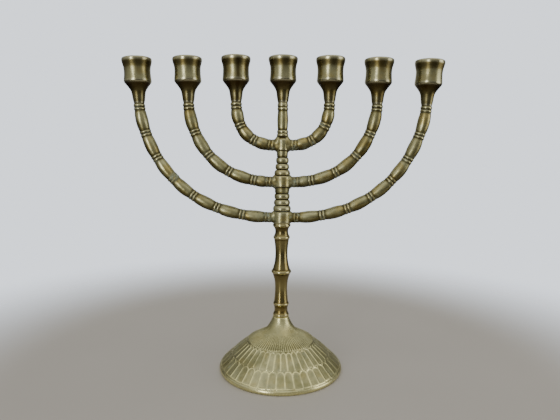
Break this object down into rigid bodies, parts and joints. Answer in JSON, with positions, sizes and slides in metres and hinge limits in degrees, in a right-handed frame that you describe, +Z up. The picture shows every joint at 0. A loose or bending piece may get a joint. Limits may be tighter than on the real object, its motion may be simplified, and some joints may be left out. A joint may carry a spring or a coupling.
{
  "type": "menorah",
  "caption": "Branched brass candle holder: cups on curved ringed arms in one plane, a ribbed column, a turned stem and a round fluted bell base.",
  "frame": {"origin": "on the surface it stands on, under the middle of the column", "axes": "+Z up; the arms spread along X; +Y is away from the viewer, across the plane of the arms"},
  "size_m": [0.3309, 0.1326, 0.33],
  "materials": {
    "cast_brass": "cast brass, aged olive-brown, worn bright on the high spots",
    "turned_brass": "turned and polished brass, tarnished",
    "base_brass": "cast brass with a fine grain, pale and matt, bright on the rim",
    "steel": "zinc-plated threaded steel"
  },
  "bodies": {
    "stand": {"base": "base_brass", "stem": "turned_brass", "branch_column": "cast_brass", "inner_arm_left": "cast_brass", "inner_arm_right": "cast_brass", "middle_arm_left": "cast_brass", "middle_arm_right": "cast_brass", "outer_arm_left": "cast_brass", "outer_arm_right": "cast_brass", "stud_centre": "steel", "stud_inner_left": "steel", "stud_inner_right": "steel", "stud_middle_left": "steel", "stud_middle_right": "steel", "stud_outer_left": "steel", "stud_outer_right": "steel", "tie_rod": "steel", "washer": "steel", "nut": "steel"},
    "centre_cup": {"cup_centre": "turned_brass"},
    "inner_left_cup": {"cup_inner_left": "turned_brass"},
    "inner_right_cup": {"cup_inner_right": "turned_brass"},
    "middle_left_cup": {"cup_middle_left": "turned_brass"},
    "middle_right_cup": {"cup_middle_right": "turned_brass"},
    "outer_left_cup": {"cup_outer_left": "turned_brass"},
    "outer_right_cup": {"cup_outer_right": "turned_brass"}
  },
  "joints": [
    {"name": "unscrew_centre", "type": "slide", "parent": "stand", "child": "centre_cup", "axis": [0, 0, 1], "range_m": [0, 0.009]},
    {"name": "unscrew_inner_left", "type": "slide", "parent": "stand", "child": "inner_left_cup", "axis": [-0.007, 0, 1], "range_m": [0, 0.009]},
    {"name": "unscrew_inner_right", "type": "slide", "parent": "stand", "child": "inner_right_cup", "axis": [0.007, 0, 1], "range_m": [0, 0.009]},
    {"name": "unscrew_middle_left", "type": "slide", "parent": "stand", "child": "middle_left_cup", "axis": [-0.0209, 0, 0.9998], "range_m": [0, 0.009]},
    {"name": "unscrew_middle_right", "type": "slide", "parent": "stand", "child": "middle_right_cup", "axis": [0.0209, 0, 0.9998], "range_m": [0, 0.009]},
    {"name": "unscrew_outer_left", "type": "slide", "parent": "stand", "child": "outer_left_cup", "axis": [-0.0401, 0, 0.9992], "range_m": [0, 0.009]},
    {"name": "unscrew_outer_right", "type": "slide", "parent": "stand", "child": "outer_right_cup", "axis": [0.0401, 0, 0.9992], "range_m": [0, 0.009]}
  ]
}
